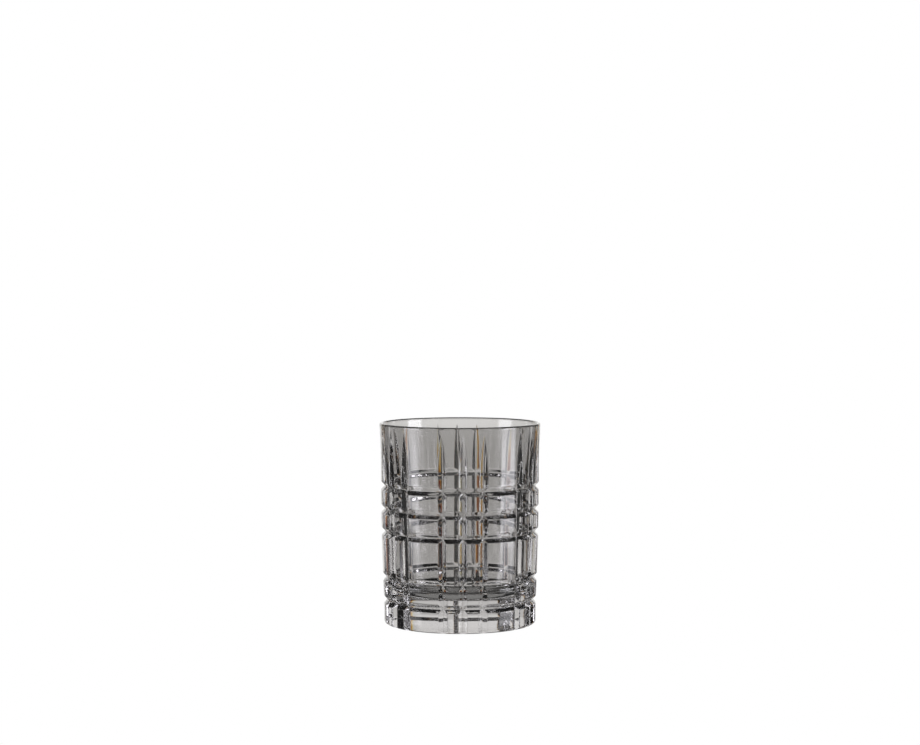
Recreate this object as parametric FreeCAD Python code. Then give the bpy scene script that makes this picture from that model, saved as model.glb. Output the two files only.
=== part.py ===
"""Pressed whiskey tumbler with a plaid of V-grooves, in millimetres.

The tumbler is one piece of glass. It stands on z = 0 with its axis on +Z, and the middle groove of one
group of upright grooves faces -Y. Every outline is drawn in the XZ half-plane, where x is the radius.
"""
import FreeCAD, Part
import math
import os

Vector = FreeCAD.Vector

# Overall sizes
HEIGHT = 102.0
RIM_DIAMETER = 82.0
SHOULDER_INSET = 0.75          # how far the start of the flare lies inside the rim
SHOULDER_BELOW_RIM = 24.0      # from the rim down to that place
FOOT_INSET = 2.45              # how far the foot lies inside the rim
FOOT_BAND_HEIGHT = 8.0         # the straight band above the foot's corner
BELLY_BULGE = 0.4              # how far the belly stands out of a straight cone
FLARE_HOLLOW = 0.19            # how far the flare lies inside a straight cone

# Walls and floor
RIM_WALL = 2.0                 # the lip is a half round of this thickness
SHOULDER_WALL = 3.4
FOOT_WALL = 4.9
FLOOR_THICKNESS = 15.5
CAVITY_CORNER_HEIGHT = 8.0     # how far the rounded inner corner climbs the wall

# Foot
FOOT_CORNER = 1.6              # radius of the rounded outer corner
CONTACT_RING_WIDTH = 7.0       # flat ring that the tumbler stands on
PUNT_DEPTH = 0.6               # shallow dome inside the ring

# V-grooves: rings and uprights have the same section
GROOVE_DEPTH = 1.9
GROOVE_HALF_WIDTH = 2.1
RING_LOWEST = 12.2             # height of the lowest ring above the table
RING_PITCH = 11.6
RING_STEPS = (0, 1, 3, 4, 5)   # the plaid leaves step 2 out
UPRIGHT_GRID = 24              # places round the glass
UPRIGHT_GAP = 4                # every fourth place is left out
TIP_BELOW_RIM = 3.2            # where an upright groove fades out
RUN_OUT_LENGTH = 20.0          # from the tip down to the full depth

CUTTER_MARGIN = 3.0            # how far cutters reach past the glass

rim_radius = RIM_DIAMETER / 2
shoulder_radius = rim_radius - SHOULDER_INSET
foot_radius = rim_radius - FOOT_INSET
lip_radius = RIM_WALL / 2
lip_height = HEIGHT - lip_radius
shoulder_height = HEIGHT - SHOULDER_BELOW_RIM


def point(radius, height):
    """A point of an outline in the XZ half-plane."""
    return Vector(radius, 0, height)


def bowed_arc(start, end, bulge):
    """Arc between two outline points whose middle is moved outwards by bulge."""
    middle = (start + end) * 0.5 + point(bulge, 0)
    return Part.Arc(start, middle, end)


def radius_at(arc, height):
    """Radius of an outline's shallow arc at a height."""
    edge = arc.toShape()
    circle = edge.Curve
    reach = math.sqrt(circle.Radius ** 2 - (height - circle.Center.z) ** 2)
    bows_outwards = edge.firstVertex().Point.x > circle.Center.x
    return circle.Center.x + reach if bows_outwards else circle.Center.x - reach


def outline_face(pieces):
    """Planar face inside a closed run of lines and arcs."""
    return Part.Face(Part.Wire([piece.toShape() for piece in pieces]))


def spun(face):
    """Solid of revolution of a face about the glass's axis."""
    return face.revolve(Vector(0, 0, 0), Vector(0, 0, 1), 360)


belly = bowed_arc(point(foot_radius, FOOT_BAND_HEIGHT), point(shoulder_radius, shoulder_height), BELLY_BULGE)
flare = bowed_arc(point(shoulder_radius, shoulder_height), point(rim_radius, lip_height), -FLARE_HOLLOW)


def outer_radius(height):
    """Outside radius of the ungrooved glass between the foot band and the lip."""
    if height < FOOT_BAND_HEIGHT:
        return foot_radius
    return radius_at(belly if height < shoulder_height else flare, height)


def blank_body():
    """The turned outside of the glass, solid right through."""
    contact_radius = foot_radius - FOOT_CORNER
    punt_radius = contact_radius - CONTACT_RING_WIDTH
    diagonal = FOOT_CORNER * math.sqrt(0.5)
    corner_middle = point(contact_radius + diagonal, FOOT_CORNER - diagonal)
    punt_top = point(0, PUNT_DEPTH)
    punt_sphere = (punt_radius ** 2 + PUNT_DEPTH ** 2) / (2 * PUNT_DEPTH)
    punt_mid_radius = punt_radius / 2
    punt_mid_drop = punt_sphere - math.sqrt(punt_sphere ** 2 - punt_mid_radius ** 2)
    punt_middle = point(punt_mid_radius, PUNT_DEPTH - punt_mid_drop)
    corner_top = point(foot_radius, FOOT_CORNER)
    lip_top = point(rim_radius - lip_radius, HEIGHT)
    lip_diagonal = lip_radius * math.sqrt(0.5)
    lip_middle = point(rim_radius - lip_radius + lip_diagonal, lip_height + lip_diagonal)
    axis_top = point(0, HEIGHT)
    return spun(outline_face([
        Part.Arc(punt_top, punt_middle, point(punt_radius, 0)),
        Part.LineSegment(point(punt_radius, 0), point(contact_radius, 0)),
        Part.Arc(point(contact_radius, 0), corner_middle, corner_top),
        Part.LineSegment(corner_top, point(foot_radius, FOOT_BAND_HEIGHT)),
        belly,
        flare,
        Part.Arc(point(rim_radius, lip_height), lip_middle, lip_top),
        Part.LineSegment(lip_top, axis_top),
        Part.LineSegment(axis_top, punt_top),
    ]))


def cavity():
    """The space inside the glass, with the inner half of the rounded lip."""
    mouth = point(rim_radius - RIM_WALL, lip_height)
    shoulder = point(shoulder_radius - SHOULDER_WALL, shoulder_height)
    foot_height = FLOOR_THICKNESS + CAVITY_CORNER_HEIGHT
    foot = point(outer_radius(foot_height) - FOOT_WALL, foot_height)
    wall = Part.Arc(mouth, shoulder, foot)
    slope = wall.toShape().tangentAt(wall.toShape().LastParameter)
    lean = math.atan2(abs(slope.x), abs(slope.z))
    corner_radius = CAVITY_CORNER_HEIGHT / (1 - math.sin(lean))
    corner_centre = foot + point(-corner_radius * math.cos(lean), corner_radius * math.sin(lean))
    halfway = (math.pi / 2 + lean) / 2
    corner_middle = corner_centre + point(corner_radius * math.cos(halfway), -corner_radius * math.sin(halfway))
    corner_end = point(corner_centre.x, FLOOR_THICKNESS)
    floor_centre = point(0, FLOOR_THICKNESS)
    over_top = point(0, HEIGHT + CUTTER_MARGIN)
    lip_diagonal = lip_radius * math.sqrt(0.5)
    lip_top = point(rim_radius - lip_radius, HEIGHT)
    lip_middle = point(lip_top.x - lip_diagonal, lip_height + lip_diagonal)
    lip_over = point(lip_top.x, HEIGHT + CUTTER_MARGIN)
    return spun(outline_face([
        Part.LineSegment(over_top, lip_over),
        Part.LineSegment(lip_over, lip_top),
        Part.Arc(lip_top, lip_middle, mouth),
        wall,
        Part.Arc(foot, corner_middle, corner_end),
        Part.LineSegment(corner_end, floor_centre),
        Part.LineSegment(floor_centre, over_top),
    ]))


def ring_cutter(height):
    """V-section ring round the glass at a height."""
    root = point(outer_radius(height) - GROOVE_DEPTH, height)
    reach = GROOVE_DEPTH + CUTTER_MARGIN
    half_width = GROOVE_HALF_WIDTH * reach / GROOVE_DEPTH
    upper = root + point(reach, half_width)
    lower = root + point(reach, -half_width)
    return spun(outline_face([
        Part.LineSegment(root, upper),
        Part.LineSegment(upper, lower),
        Part.LineSegment(lower, root),
    ]))


def upright_cutter():
    """Upright V-groove cutter on the +X side.

    Its root line follows the outside of the glass at the groove's depth, and runs out to the surface
    in an arc below the rim. Each flank is the root line swept sideways and outwards.
    """
    tip_height = HEIGHT - TIP_BELOW_RIM
    full_height = tip_height - RUN_OUT_LENGTH
    middle_height = (tip_height + full_height) / 2
    sunk = point(-GROOVE_DEPTH, 0)
    below = point(foot_radius, -CUTTER_MARGIN) + sunk
    band_top = point(foot_radius, FOOT_BAND_HEIGHT) + sunk
    root_middle_height = (FOOT_BAND_HEIGHT + full_height) / 2
    root_middle = point(outer_radius(root_middle_height), root_middle_height) + sunk
    full = point(outer_radius(full_height), full_height) + sunk
    three_quarters = point(outer_radius(middle_height) - 0.75 * GROOVE_DEPTH, middle_height)
    tip = point(outer_radius(tip_height), tip_height)
    outside = rim_radius + CUTTER_MARGIN
    beyond_top = point(outside, tip_height)
    beyond_bottom = point(outside, -CUTTER_MARGIN)
    section = outline_face([
        Part.LineSegment(below, band_top),
        Part.Arc(band_top, root_middle, full),
        Part.Arc(full, three_quarters, tip),
        Part.LineSegment(tip, beyond_top),
        Part.LineSegment(beyond_top, beyond_bottom),
        Part.LineSegment(beyond_bottom, below),
    ])
    reach = 2 * GROOVE_DEPTH
    sideways = reach * GROOVE_HALF_WIDTH / GROOVE_DEPTH
    left = section.extrude(Vector(reach, sideways, 0))
    right = section.extrude(Vector(reach, -sideways, 0))
    return left.fuse(right)


def groove_angles():
    """Angles from +X of the upright grooves, with the middle of one group at -Y."""
    step = 360 / UPRIGHT_GRID
    places = range(UPRIGHT_GRID)
    return [-90 + (place - 1) * step for place in places if place % UPRIGHT_GAP != UPRIGHT_GAP - 1]


def turned(shape, angle):
    """Copy of a shape turned about the glass's axis."""
    copy = shape.copy()
    copy.rotate(Vector(0, 0, 0), Vector(0, 0, 1), angle)
    return copy


def tumbler_glass():
    """The whole glass: turned body, cavity and the plaid of grooves."""
    rings = [ring_cutter(RING_LOWEST + step * RING_PITCH) for step in RING_STEPS]
    upright = upright_cutter()
    uprights = [turned(upright, angle) for angle in groove_angles()]
    glass = blank_body().cut(cavity()).cut(rings)
    glass = glass.cut(uprights)
    return glass.Solids[0] if len(glass.Solids) == 1 else glass


def main():
    """Build the glass and write it out."""
    os.makedirs("parts", exist_ok=True)
    glass = tumbler_glass()
    glass.exportStep("parts/tumbler_glass.step")
    print("tumbler_glass", glass.ShapeType, "valid", glass.isValid(), "solids", len(glass.Solids))
    print("volume", round(glass.Volume), "box", glass.BoundBox)
    print("wall under a ring at the shoulder", round(SHOULDER_WALL - GROOVE_DEPTH, 2))
    print("capacity ml", round(cavity().common(Part.makeCylinder(rim_radius, HEIGHT)).Volume / 1000))


main()
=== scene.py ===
"""Looks of a pressed whiskey tumbler: smoke-grey glass with a plaid of V-grooves, in a pale studio."""

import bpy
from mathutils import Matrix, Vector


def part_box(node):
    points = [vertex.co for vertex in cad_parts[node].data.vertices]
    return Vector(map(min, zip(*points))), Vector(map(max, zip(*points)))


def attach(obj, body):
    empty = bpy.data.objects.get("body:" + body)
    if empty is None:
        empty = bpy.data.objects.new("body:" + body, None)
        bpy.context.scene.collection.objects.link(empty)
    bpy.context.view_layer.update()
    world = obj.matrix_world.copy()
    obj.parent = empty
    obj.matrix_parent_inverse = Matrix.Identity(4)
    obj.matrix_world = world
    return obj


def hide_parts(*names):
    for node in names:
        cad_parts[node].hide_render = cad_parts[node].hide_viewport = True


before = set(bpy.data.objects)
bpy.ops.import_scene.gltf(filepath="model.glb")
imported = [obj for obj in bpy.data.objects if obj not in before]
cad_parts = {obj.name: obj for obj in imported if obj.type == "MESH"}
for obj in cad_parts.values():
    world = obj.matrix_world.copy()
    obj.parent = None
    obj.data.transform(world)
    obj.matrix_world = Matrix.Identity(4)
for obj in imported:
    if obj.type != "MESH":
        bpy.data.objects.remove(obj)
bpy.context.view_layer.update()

import logging
import math
from dataclasses import dataclass, field
from enum import Enum
from typing import Any

import bpy
import numpy as np

log = logging.getLogger("tumbler")

MM = 0.001
GLASS_NODE = "tumbler_glass"
WARM_WHITE = (1.0, 0.992, 0.972)
COOL_WHITE = (0.94, 0.94, 1.0)
DEGREES = 180 / math.pi


class Surface(Enum):
    """Side of the glass that a row of the outline lies on."""

    BASE = "base"
    OUTSIDE = "outside"
    INSIDE = "inside"


@dataclass(frozen=True)
class Row:
    """One ring of vertices of the turned glass, in millimetres."""

    radius: float
    height: float
    surface: Surface


def smooth_max(first: np.ndarray, second: np.ndarray, blend: float) -> np.ndarray:
    """Larger of two values, with a rounded change from one to the other.

    Args:
        first: One value at each place.
        second: The other value at each place.
        blend: Difference below which the two are blended.

    Returns:
        The blended maximum.
    """
    gap = np.maximum(blend - np.abs(first - second), 0.0)
    return np.maximum(first, second) + gap * gap / (4.0 * blend)


def smooth_abs(value: np.ndarray, blend: float) -> np.ndarray:
    """Absolute value with a rounded point at zero, blend wide on each side."""
    size = np.abs(value)
    return np.where(size < blend, value * value / (2.0 * blend) + blend / 2.0, size)


def arc_points(centre: tuple[float, float], radius: float, start: float, end: float,
               steps: int) -> list[tuple[float, float]]:
    """Points along an arc of the outline.

    Args:
        centre: Radius and height of the arc's centre.
        radius: The arc's own radius.
        start: First angle in degrees, from the outward direction.
        end: Last angle in degrees.
        steps: Number of steps between them.

    Returns:
        Radius and height of each point, both ends included.
    """
    angles = [math.radians(start + (end - start) * step / steps) for step in range(steps + 1)]
    return [(centre[0] + radius * math.cos(angle), centre[1] + radius * math.sin(angle))
            for angle in angles]


@dataclass
class GlassOutline:
    """Turned outline of the glass, in millimetres, from the base round to the floor of the cavity.

    The shares place the rows of the punt and the floor, measured out from the axis, and the rows of the
    contact ring, measured in from its outer edge.
    """

    rim_radius: float
    height: float
    shoulder_radius: float = 40.25
    shoulder_below_rim: float = 24.0
    foot_radius: float = 38.55
    foot_band_height: float = 8.0
    belly_bulge: float = 0.4
    rim_wall: float = 2.0
    shoulder_wall: float = 3.4
    foot_wall: float = 4.9
    floor_thickness: float = 15.5
    cavity_corner_height: float = 8.0
    foot_corner: float = 1.6
    contact_ring_width: float = 7.0
    punt_depth: float = 0.6
    round_steps: int = 7
    wall_steps: int = 26
    cavity_corner_steps: int = 12
    lean_step: float = 0.1
    punt_shares: tuple[float, ...] = (0.0, 0.06, 0.25, 0.45, 0.65, 0.8, 0.92, 0.98, 1.0)
    contact_shares: tuple[float, ...] = (0.95, 0.6, 0.25, 0.06)
    floor_shares: tuple[float, ...] = (0.97, 0.85, 0.65, 0.45, 0.25, 0.06, 0.0)

    @property
    def shoulder_height(self) -> float:
        """Height at which the flare of the mouth begins."""
        return self.height - self.shoulder_below_rim

    @property
    def lip_radius(self) -> float:
        """Radius of the half-round lip."""
        return self.rim_wall / 2

    @property
    def lip_height(self) -> float:
        """Height at which the lip begins."""
        return self.height - self.lip_radius

    def outer_radius(self, height: np.ndarray) -> np.ndarray:
        """Outside radius of the ungrooved glass.

        Args:
            height: Heights above the table.

        Returns:
            The radius at each height.
        """
        belly_height = self.shoulder_height - self.foot_band_height
        along = np.clip((height - self.foot_band_height) / belly_height, 0, 1)
        belly = (self.foot_radius + (self.shoulder_radius - self.foot_radius) * along
                 + 4 * self.belly_bulge * along * (1 - along))
        up = np.clip((height - self.shoulder_height) / (self.lip_height - self.shoulder_height), 0, 1)
        return belly + (self.rim_radius - self.shoulder_radius) * up * up

    def cavity_foot(self) -> tuple[float, float]:
        """Radius and height where the cavity's wall meets its rounded corner."""
        height = self.floor_thickness + self.cavity_corner_height
        return float(self.outer_radius(np.array(height))) - self.foot_wall, height

    def inner_radius(self, height: float) -> float:
        """Radius of the cavity's wall: a parabola through the mouth, the shoulder and the wall's foot.

        Args:
            height: Height above the table.

        Returns:
            The radius there.
        """
        foot_radius, foot_height = self.cavity_foot()
        places = (self.lip_height, self.shoulder_height, foot_height)
        radii = (self.rim_radius - self.rim_wall, self.shoulder_radius - self.shoulder_wall, foot_radius)
        total = 0.0
        for this, radius in zip(places, radii):
            weight = radius
            for other in places:
                if other != this:
                    weight *= (height - other) / (this - other)
            total += weight
        return total

    def base_rows(self) -> list[Row]:
        """Rows of the punt and the contact ring, from the axis outwards."""
        contact = self.foot_radius - self.foot_corner
        punt = contact - self.contact_ring_width
        rows = [Row(punt * share, self.punt_depth * (1 - share * share), Surface.BASE)
                for share in self.punt_shares]
        rows += [Row(contact - self.contact_ring_width * share, 0.0, Surface.BASE)
                 for share in self.contact_shares]
        return rows

    def outside_rows(self, heights: list[float]) -> list[Row]:
        """Rows of the foot's corner, the wall and the outer half of the lip.

        Args:
            heights: Heights of the wall's rows, from low to high.

        Returns:
            The rows from the contact ring to the top of the lip.
        """
        corner = (self.foot_radius - self.foot_corner, self.foot_corner)
        points = arc_points(corner, self.foot_corner, -90, 0, self.round_steps)
        points += [(float(self.outer_radius(np.array(height))), height) for height in heights]
        lip = (self.rim_radius - self.lip_radius, self.lip_height)
        points += arc_points(lip, self.lip_radius, 0, 90, self.round_steps)
        return [Row(radius, height, Surface.OUTSIDE) for radius, height in points]

    def inside_rows(self) -> list[Row]:
        """Rows of the lip's inner half, the cavity's wall, its corner and its floor."""
        lip = (self.rim_radius - self.lip_radius, self.lip_height)
        points = arc_points(lip, self.lip_radius, 90, 180, self.round_steps)[1:]
        foot_radius, foot_height = self.cavity_foot()
        for step in range(1, self.wall_steps + 1):
            height = self.lip_height + (foot_height - self.lip_height) * step / self.wall_steps
            points.append((self.inner_radius(height), height))
        widening = self.inner_radius(foot_height + self.lean_step) - self.inner_radius(foot_height)
        lean = math.atan2(widening, self.lean_step)
        radius = self.cavity_corner_height / (1 - math.sin(lean))
        centre = (foot_radius - radius * math.cos(lean), foot_height + radius * math.sin(lean))
        points += arc_points(centre, radius, -math.degrees(lean), -90, self.cavity_corner_steps)[1:]
        points += [(centre[0] * share, self.floor_thickness) for share in self.floor_shares]
        return [Row(place, height, Surface.INSIDE) for place, height in points]


@dataclass
class GroovePlaid:
    """Plaid of V-grooves on the outside, in millimetres and degrees.

    Rings and uprights have the same section, whose places are given in half widths. Rows and columns of the
    mesh are packed round each groove at the same places, so that the ridges of a crossing pass through
    vertices. An upright never gets narrower than its thinnest share, and tip_rows is how far below the lip
    the closer rows of the tips begin.
    """

    depth: float = 1.9
    half_width: float = 2.1
    ring_lowest: float = 12.2
    ring_pitch: float = 11.6
    ring_steps: tuple[int, ...] = (0, 1, 3, 4, 5)
    upright_grid: int = 24
    upright_gap: int = 4
    tip_below_rim: float = 3.2
    run_out_length: float = 20.0
    edge_rounding: float = 0.3
    root_rounding: float = 0.3
    section: tuple[float, ...] = (0.0, 0.08, 0.2, 0.5, 0.8, 0.9, 1.0, 1.1, 1.22)
    thinnest: float = 0.06
    tip_rows: float = 12.0
    past_tip: float = 1.2
    belly_spacing: float = 3.2
    flare_spacing: float = 1.25
    tip_spacing: float = 0.5
    column_spacing: float = 2.0
    clear_of_grooves: float = 9.0

    @property
    def ring_heights(self) -> list[float]:
        """Heights of the rings' roots."""
        return [self.ring_lowest + step * self.ring_pitch for step in self.ring_steps]

    @property
    def upright_angles(self) -> list[float]:
        """Directions of the uprights from +X, with the middle of one group at -Y."""
        step = 360 / self.upright_grid
        left_out = self.upright_gap - 1
        places = [place for place in range(self.upright_grid) if place % self.upright_gap != left_out]
        return [-90 + (place - 1) * step for place in places]

    @property
    def offsets(self) -> list[float]:
        """Places across a groove, in half widths, from one side to the other."""
        return [-share for share in reversed(self.section)] + list(self.section[1:])

    def wall_heights(self, lowest: float, highest: float) -> list[float]:
        """Heights of the wall's rows.

        Args:
            lowest: Top of the foot's corner.
            highest: Bottom of the lip.

        Returns:
            Heights between the two, closer together round each ring.
        """
        heights: list[float] = []
        below = lowest
        for root in self.ring_heights:
            packed = [root + share * self.half_width for share in self.offsets]
            heights += spread(below, packed[0], self.belly_spacing) + packed
            below = packed[-1]
        tips = highest - self.tip_rows
        heights += spread(below, tips, self.flare_spacing) + [tips]
        heights += spread(tips, highest, self.tip_spacing)
        return heights

    def fullness(self, height: np.ndarray, rim_height: float) -> np.ndarray:
        """Share of an upright's full depth at each height: 1 below the run-out, 0 at the tip.

        Args:
            height: Heights above the table.
            rim_height: Height of the glass.

        Returns:
            The share, which falls along an arc.
        """
        tip = rim_height - self.tip_below_rim
        along = np.clip((height - tip + self.run_out_length) / self.run_out_length, 0, self.past_tip)
        return 1 - along * along


def spread(low: float, high: float, step: float) -> list[float]:
    """Evenly spaced values between two ends, leaving out both ends.

    Args:
        low: Lower end.
        high: Upper end.
        step: Largest spacing.

    Returns:
        The values in between.
    """
    count = max(1, math.ceil((high - low) / step))
    return [low + (high - low) * part / count for part in range(1, count)]


@dataclass
class Column:
    """One column of the mesh, across an upright or part of the way from one upright to the next.

    Before and after are the uprights' directions in degrees, the offset is in half widths of a groove, and
    the share is how far on the column lies.
    """

    before: float
    after: float
    offset: float
    share: float


@dataclass
class TumblerGlass:
    """The glass: turned by a spin, then pressed with the plaid."""

    outline: GlassOutline
    plaid: GroovePlaid
    name: str = "pressed_tumbler_glass"
    weld_distance: float = 0.002
    rows: list[Row] = field(default_factory=list)
    columns: list[Column] = field(default_factory=list)

    def plan(self) -> None:
        """Work out the rows and columns of the mesh."""
        outline = self.outline
        heights = self.plaid.wall_heights(outline.foot_corner, outline.lip_height)
        self.rows = outline.base_rows() + outline.outside_rows(heights) + outline.inside_rows()
        angles = self.plaid.upright_angles
        last = self.plaid.section[-1] * self.plaid.half_width
        for this, following in zip(angles, angles[1:] + [angles[0] + 360]):
            self.columns += [Column(this, this, offset, 0.0) for offset in self.plaid.offsets]
            gap = math.radians(following - this) * outline.shoulder_radius - 2 * last
            count = max(1, math.ceil(gap / self.plaid.column_spacing))
            self.columns += [Column(this, following, self.plaid.section[-1], part / count)
                             for part in range(1, count)]

    def turn(self) -> bpy.types.Object:
        """Extrude the outline from a single vertex and spin it into a closed glass.

        Returns:
            The turned glass, with as many segments as there are columns.
        """
        bpy.ops.object.select_all(action="DESELECT")
        bpy.ops.mesh.primitive_plane_add(size=MM, location=(0, 0, self.rows[0].height * MM))
        glass = bpy.context.object
        glass.name = self.name
        bpy.ops.object.transform_apply(location=True, rotation=True, scale=True)
        bpy.ops.object.mode_set(mode="EDIT")
        bpy.ops.mesh.select_mode(type="VERT")
        bpy.ops.mesh.select_all(action="SELECT")
        bpy.ops.mesh.merge(type="CENTER")
        for this, following in zip(self.rows, self.rows[1:]):
            step = ((following.radius - this.radius) * MM, 0, (following.height - this.height) * MM)
            bpy.ops.mesh.extrude_region_move(TRANSFORM_OT_translate={"value": step})
        bpy.ops.mesh.select_all(action="SELECT")
        bpy.ops.mesh.spin(steps=len(self.columns), angle=math.tau, center=(0, 0, 0), axis=(0, 0, 1),
                          use_auto_merge=True)
        bpy.ops.mesh.select_all(action="SELECT")
        bpy.ops.mesh.remove_doubles(threshold=self.weld_distance * MM)
        bpy.ops.mesh.normals_make_consistent(inside=False)
        bpy.ops.object.mode_set(mode="OBJECT")
        return glass

    def match(self, places: np.ndarray) -> tuple[np.ndarray, np.ndarray]:
        """Find the row and the column of each vertex of the turned glass.

        Args:
            places: Places of the vertices, in millimetres.

        Returns:
            The number of each vertex's row, and the number of its column.
        """
        radius = np.hypot(places[:, 0], places[:, 1])
        turn = np.degrees(np.arctan2(places[:, 1], places[:, 0])) % 360
        column = np.rint(turn / 360 * len(self.columns)).astype(int) % len(self.columns)
        row_radius = np.array([row.radius for row in self.rows])
        row_height = np.array([row.height for row in self.rows])
        across = np.abs(row_radius[None, :] - radius[:, None])
        up = np.abs(row_height[None, :] - places[:, 2, None])
        return (across + up).argmin(axis=1), column

    def groove_depth(self, height: np.ndarray, fullness: np.ndarray, aside: np.ndarray) -> np.ndarray:
        """Depth of the plaid below the ungrooved wall, which is negative between grooves.

        Args:
            height: Heights above the table.
            fullness: Share of an upright's full depth at each height.
            aside: Distance round the glass from the nearest upright's root.

        Returns:
            The depth of the deeper groove, with the edge between two grooves rounded.
        """
        plaid = self.plaid
        slope = plaid.depth / plaid.half_width
        root_rounding = plaid.root_rounding * np.clip(fullness, plaid.thinnest, 1.0)
        upright = plaid.depth * fullness - slope * smooth_abs(aside, root_rounding)
        rings = np.full(len(height), -plaid.clear_of_grooves)
        for ring in plaid.ring_heights:
            rings = np.maximum(rings, plaid.depth - slope * smooth_abs(height - ring, plaid.root_rounding))
        return smooth_max(upright, rings, plaid.edge_rounding)

    def press(self, glass: bpy.types.Object) -> None:
        """Move each vertex to its column, and sink it by the depth of the grooves there.

        Args:
            glass: The turned glass.
        """
        mesh = glass.data
        places = np.empty(len(mesh.vertices) * 3)
        mesh.vertices.foreach_get("co", places)
        places = places.reshape(-1, 3) / MM
        row, column = self.match(places)
        outside = np.array([one.surface is Surface.OUTSIDE for one in self.rows])[row]
        radius = np.array([one.radius for one in self.rows])[row]
        height = np.array([one.height for one in self.rows])[row]
        before = np.array([one.before for one in self.columns])[column]
        after = np.array([one.after for one in self.columns])[column]
        offset = np.array([one.offset for one in self.columns])[column]
        share = np.array([one.share for one in self.columns])[column]
        plaid = self.plaid
        wall = self.outline.outer_radius(height)
        fullness = plaid.fullness(height, self.outline.height)
        width = plaid.half_width * np.where(outside, np.maximum(fullness, plaid.thinnest), 1.0)
        reach = np.degrees(offset * width / wall)
        start = before + reach
        end = after - np.where(share > 0, reach, -reach)
        angle = start + (end - start) * share
        aside = np.where(share > 0, plaid.clear_of_grooves, np.radians(angle - before) * wall)
        groove = self.groove_depth(height, fullness, aside)
        rounding = plaid.edge_rounding * np.clip(fullness, plaid.thinnest, 1.0)
        sunk = -smooth_max(-radius, groove - wall, rounding)
        radius = np.where(outside, np.minimum(sunk, radius), radius)
        turned = np.radians(angle)
        places[:, 0] = radius * np.cos(turned)
        places[:, 1] = radius * np.sin(turned)
        places[:, 2] = height
        mesh.vertices.foreach_set("co", (places * MM).ravel())
        mesh.update()

    def build(self) -> bpy.types.Object:
        """Model the glass.

        Returns:
            The finished object, standing at the origin.
        """
        self.plan()
        glass = self.turn()
        self.press(glass)
        bpy.ops.object.select_all(action="DESELECT")
        glass.select_set(True)
        bpy.context.view_layer.objects.active = glass
        bpy.ops.object.shade_smooth()
        return glass


class Socket:
    """A node's output as a value that Python's operators work on."""

    def __init__(self, maker: "NodeMaker", link: bpy.types.NodeSocket) -> None:
        """Keep the socket with the maker of its tree."""
        self.maker = maker
        self.link = link

    def math(self, operation: str, *others: Any) -> "Socket":
        """Result of a Math node on this value and others."""
        inputs = dict(enumerate((self,) + others))
        node = self.maker.add("ShaderNodeMath", {"operation": operation}, inputs)
        return Socket(self.maker, node.outputs[0])

    def __add__(self, other: Any) -> "Socket":
        """This value plus another."""
        return self.math("ADD", other)

    def __sub__(self, other: Any) -> "Socket":
        """This value less another."""
        return self.math("SUBTRACT", other)

    def __mul__(self, other: Any) -> "Socket":
        """This value times another."""
        return self.math("MULTIPLY", other)

    def __rsub__(self, other: float) -> "Socket":
        """A number less this value."""
        return (self * -1.0) + other

    __radd__ = __add__
    __rmul__ = __mul__


class NodeMaker:
    """Adds nodes and links to one node tree."""

    def __init__(self, tree: bpy.types.NodeTree) -> None:
        """Start with an empty tree."""
        self.tree = tree
        tree.nodes.clear()

    def add(self, kind: str, settings: dict[str, Any] | None = None,
            sockets: dict[Any, Any] | None = None) -> bpy.types.Node:
        """Add a node.

        Args:
            kind: The node's type.
            settings: Its settings, set before its sockets.
            sockets: Values or links of its inputs, by name or place.

        Returns:
            The node.
        """
        node = self.tree.nodes.new(kind)
        for name, value in (settings or {}).items():
            setattr(node, name, value)
        for key, value in (sockets or {}).items():
            if isinstance(value, Socket):
                self.tree.links.new(value.link, node.inputs[key])
            elif isinstance(value, bpy.types.NodeSocket):
                self.tree.links.new(value, node.inputs[key])
            else:
                node.inputs[key].default_value = value
        return node

    def value(self, node: bpy.types.Node, output: Any = 0) -> Socket:
        """An output of a node, for maths."""
        return Socket(self, node.outputs[output])


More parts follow.
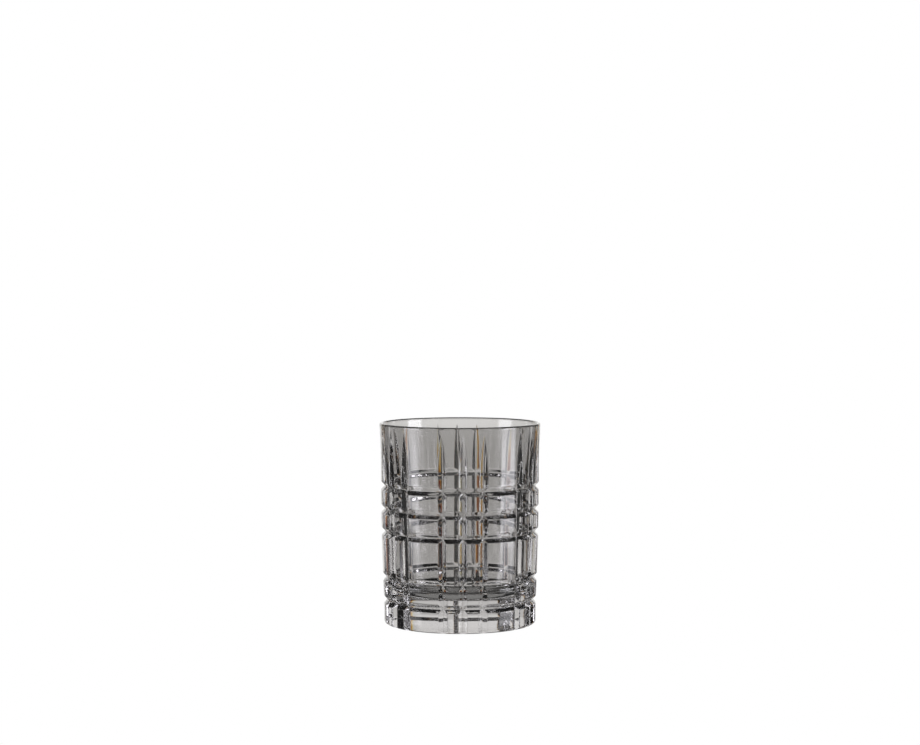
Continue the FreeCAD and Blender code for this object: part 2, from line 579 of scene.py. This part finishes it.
@dataclass(frozen=True)
class SmokeGlass:
    """Clear glass with a light smoke-grey tint, faint upright waves and an uneven polish.

    Lengths are in metres. The haze is where the polish is least even, and most_haze is its roughness.
    """

    name: str = "smoke_grey_glass"
    tint: tuple[float, float, float, float] = (0.602, 0.595, 0.590, 1.0)
    body_tint: tuple[float, float, float, float] = (0.80, 0.79, 0.80, 1.0)
    density: float = 10.0
    index: float = 1.52
    streak_width: float = 0.004
    streak_height: float = 0.05
    streak_detail: float = 1.5
    waviness: float = 0.00003
    haze_scale: float = 90.0
    haze_detail: float = 3.0
    haze_starts: float = 0.45
    haze_full: float = 0.75
    most_haze: float = 0.05

    def material(self) -> bpy.types.Material:
        """Make the glass.

        Returns:
            The material, tinted at its surface and lightly through its body.
        """
        material = bpy.data.materials.new(self.name)
        material.use_nodes = True
        maker = NodeMaker(material.node_tree)
        place = maker.add("ShaderNodeTexCoord")
        stretched = maker.add("ShaderNodeMapping", {}, {
            "Vector": place.outputs["Object"],
            "Scale": (1 / self.streak_width, 1 / self.streak_width, 1 / self.streak_height)})
        streaks = maker.add("ShaderNodeTexNoise", {}, {
            "Vector": stretched.outputs[0], "Scale": 1.0, "Detail": self.streak_detail})
        wave = maker.add("ShaderNodeBump", {}, {
            "Height": streaks.outputs[0], "Distance": self.waviness, "Strength": 1.0})
        haze = maker.add("ShaderNodeTexNoise", {}, {
            "Vector": place.outputs["Object"], "Scale": self.haze_scale, "Detail": self.haze_detail})
        polish = maker.add("ShaderNodeMapRange", {}, {
            "Value": haze.outputs[0], "From Min": self.haze_starts, "From Max": self.haze_full,
            "To Min": 0.0, "To Max": self.most_haze})
        shader = maker.add("ShaderNodeBsdfPrincipled", {}, {
            "Base Color": self.tint,
            "Normal": wave.outputs[0],
            "Roughness": polish.outputs[0],
            "IOR": self.index,
            "Transmission Weight": 1.0,
        })
        absorption = maker.add("ShaderNodeVolumeAbsorption", {}, {
            "Color": self.body_tint, "Density": self.density})
        maker.add("ShaderNodeOutputMaterial", {}, {
            "Surface": shader.outputs[0], "Volume": absorption.outputs[0]})
        return material


@dataclass(frozen=True)
class Panel:
    """A lit panel of the studio, in degrees round the glass and above the table.

    The centre is measured from straight behind the glass, as the camera stands, towards the camera's right.
    The fringe is how much further red light reaches past the panel's sides than blue light does.
    """

    centre: float
    half_width: float
    low: float
    high: float
    strength: float
    color: tuple[float, float, float] = (1.0, 1.0, 1.0)
    softness: float = 0.5
    fringe: float = 0.0


@dataclass
class Studio:
    """Soft light panels all round, and the camera.

    Distances are in metres, angles in degrees, and the lens and sensor in millimetres. The reaches say how
    many fringes further red, green and blue light reach at a panel's sides.
    """

    distance: float = 1.040
    camera_height: float = 0.1725
    pitch: float = 2.487
    azimuth: float = 2.2
    lens: float = 80.22
    sensor: float = 36.0
    glass_bounces: int = 24
    surface_bounces: int = 12
    fringe_reaches: tuple[float, ...] = (0.5, 0.0, -0.5)
    ambient: float = 0.02
    panels: tuple[Panel, ...] = (
        # The backdrop behind the glass, a little brighter in its middle.
        Panel(0.0, 29.0, -24.0, 24.0, 0.9, color=WARM_WHITE, softness=1.5, fringe=1.6),
        Panel(0.0, 24.0, -6.0, 14.0, 0.3, softness=3.0),
        # A narrow strip on each side of the backdrop, with darkness between.
        Panel(-58.0, 3.0, -16.0, 14.0, 1.6, softness=1.5),
        Panel(58.0, 3.0, -16.0, 14.0, 1.6, softness=1.5),
        # A large soft box on each side of the glass.
        Panel(-106.0, 12.5, -10.0, 24.0, 4.5, color=COOL_WHITE, softness=3.0),
        Panel(106.0, 12.5, -10.0, 24.0, 6.5, color=COOL_WHITE, softness=3.0),
        # A high box on each side of the camera, and a dim one behind it.
        Panel(-137.0, 9.0, 8.0, 40.0, 1.0, softness=1.5),
        Panel(137.0, 9.0, 8.0, 40.0, 1.0, softness=1.5),
        Panel(180.0, 28.0, -40.0, 22.0, 0.3, color=WARM_WHITE),
        # Pale light from below, past straight down so that its soft edge doesn't show.
        Panel(0.0, 180.0, -95.0, -46.0, 0.3, color=WARM_WHITE, softness=2.0),
    )

    def camera(self) -> None:
        """Stand the camera a little to the side of the front group of grooves, looking slightly down."""
        data = bpy.data.cameras.new("camera")
        data.sensor_width = self.sensor
        data.lens = self.lens
        camera = bpy.data.objects.new("camera", data)
        turn = math.radians(self.azimuth)
        sideways, back = self.distance * math.sin(turn), self.distance * math.cos(turn)
        camera.location = (-sideways, -back, self.camera_height)
        camera.rotation_euler = (math.radians(90 - self.pitch), 0, -turn)
        bpy.context.scene.collection.objects.link(camera)
        bpy.context.scene.camera = camera

    def world(self) -> None:
        """Light the studio from all round, white to the camera itself."""
        world = bpy.data.worlds.new("studio")
        world.use_nodes = True
        bpy.context.scene.world = world
        maker = NodeMaker(world.node_tree)
        place = maker.add("ShaderNodeTexCoord")
        parts = maker.add("ShaderNodeSeparateXYZ", {}, {0: place.outputs["Generated"]})
        across = maker.value(parts, "X").math("ARCTAN2", maker.value(parts, "Y")) * DEGREES
        above = maker.value(parts, "Z").math("ARCSINE") * DEGREES
        channels: list[Any] = [self.ambient] * 3
        for panel in self.panels:
            aside = (across - (panel.centre + self.azimuth)).math("WRAP", 180.0, -180.0).math("ABSOLUTE")
            tall = (above - (panel.low + panel.high) / 2).math("ABSOLUTE")
            inside_height = self.edge(maker, tall, (panel.high - panel.low) / 2, panel.softness)
            for channel, reach in enumerate(self.fringe_reaches):
                inside = self.edge(maker, aside, panel.half_width + reach * panel.fringe, panel.softness)
                light = inside * inside_height * (panel.strength * panel.color[channel])
                channels[channel] = light + channels[channel]
        color = maker.add("ShaderNodeCombineColor", {}, dict(enumerate(channels)))
        background = maker.add("ShaderNodeBackground", {}, {"Color": color.outputs[0]})
        white = maker.add("ShaderNodeBackground", {}, {"Color": (1, 1, 1, 1), "Strength": 1.0})
        path = maker.add("ShaderNodeLightPath")
        mix = maker.add("ShaderNodeMixShader", {}, {
            0: path.outputs["Is Camera Ray"], 1: background.outputs[0], 2: white.outputs[0]})
        maker.add("ShaderNodeOutputWorld", {}, {"Surface": mix.outputs[0]})

    def edge(self, maker: NodeMaker, value: Socket, limit: float, softness: float) -> Socket:
        """1 below a limit and 0 above it, with a soft change between.

        Args:
            maker: Maker of the world's nodes.
            value: Value that is compared, in degrees.
            limit: Place of the edge.
            softness: Half the width of the change.

        Returns:
            The mask.
        """
        node = maker.add("ShaderNodeMapRange", {"interpolation_type": "SMOOTHSTEP"}, {
            "Value": value, "From Min": limit + softness, "From Max": limit - softness,
            "To Min": 0.0, "To Max": 1.0})
        return maker.value(node)

    def develop(self) -> None:
        """Set how light becomes picture."""
        scene = bpy.context.scene
        scene.view_settings.view_transform = "Standard"
        scene.cycles.max_bounces = self.glass_bounces
        scene.cycles.transmission_bounces = self.glass_bounces
        scene.cycles.glossy_bounces = self.surface_bounces
        scene.cycles.transparent_max_bounces = self.surface_bounces
        scene.cycles.caustics_refractive = True
        scene.cycles.caustics_reflective = True

    def build(self) -> None:
        """Set up the whole studio."""
        self.camera()
        self.world()
        self.develop()


def main() -> None:
    """Build the glass and the studio, and report each piece."""
    logging.basicConfig(level=logging.INFO, format="%(name)s: %(message)s")
    _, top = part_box(GLASS_NODE)
    outline = GlassOutline(rim_radius=top.x / MM, height=top.z / MM)
    tumbler = TumblerGlass(outline, GroovePlaid())
    glass = tumbler.build()
    glass.data.materials.append(SmokeGlass().material())
    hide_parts(GLASS_NODE)
    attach(glass, "root")
    log.info("%s: %d vertices, %d faces", glass.name, len(glass.data.vertices), len(glass.data.polygons))
    Studio().build()
    log.info("studio: camera %.0f mm away", Studio.distance / MM)


if __name__ == "__main__":
    main()
